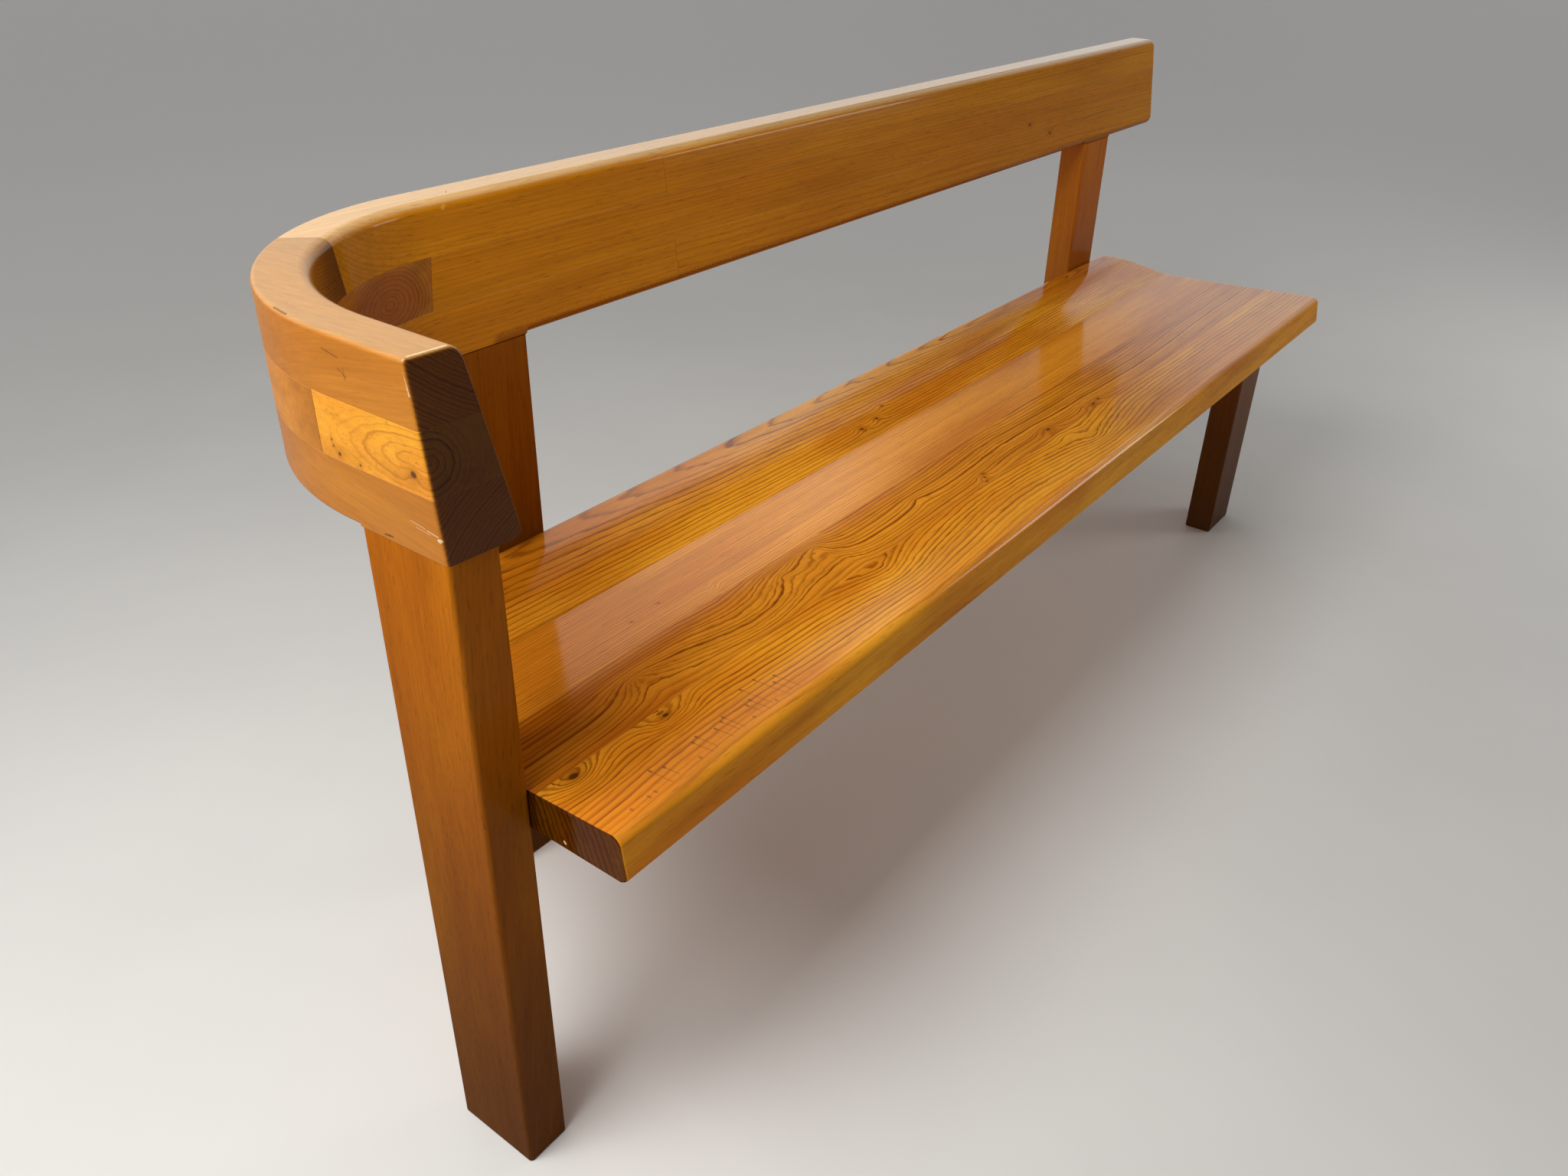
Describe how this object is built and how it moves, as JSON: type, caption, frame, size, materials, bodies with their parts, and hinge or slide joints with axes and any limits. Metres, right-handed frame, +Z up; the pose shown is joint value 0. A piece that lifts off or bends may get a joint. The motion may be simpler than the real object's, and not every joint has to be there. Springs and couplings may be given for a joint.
{
  "type": "corner bench",
  "caption": "Long wooden bench with a hollowed plank seat on upright posts, and a glued back rail that bends round a quarter circle into an arm at the left end.",
  "frame": {"origin": "floor level, below the middle of the bench's overall length and depth", "axes": "+X along the bench, from the arm towards the open right end; +Y towards the back; +Z up"},
  "size_m": [1.98, 0.4869, 0.815],
  "materials": {
    "seat_elm": "glossy varnish",
    "post_elm": "glossy varnish",
    "rail_elm": "glossy varnish",
    "arm_elm": "glossy varnish",
    "pale_elm": "glossy varnish",
    "dark_elm": "glossy varnish",
    "beech_dowel": "bare wood"
  },
  "bodies": {
    "root": {"seat_front_board": "seat_elm", "seat_middle_board": "seat_elm", "seat_hollow_board": "seat_elm", "seat_back_board": "seat_elm", "front_left_post": "post_elm", "back_left_post": "post_elm", "back_right_post": "post_elm", "front_right_leg": "post_elm", "rail_top_long": "rail_elm", "rail_top_curved": "rail_elm", "rail_middle": "rail_elm", "rail_bottom_long": "rail_elm", "rail_bottom_curved": "rail_elm", "corner_middle": "dark_elm", "arm_top": "arm_elm", "arm_middle": "pale_elm", "arm_bottom": "arm_elm", "left_end_dowels": "beech_dowel", "back_left_dowels": "beech_dowel", "back_right_dowels": "beech_dowel"}
  },
  "joints": []
}
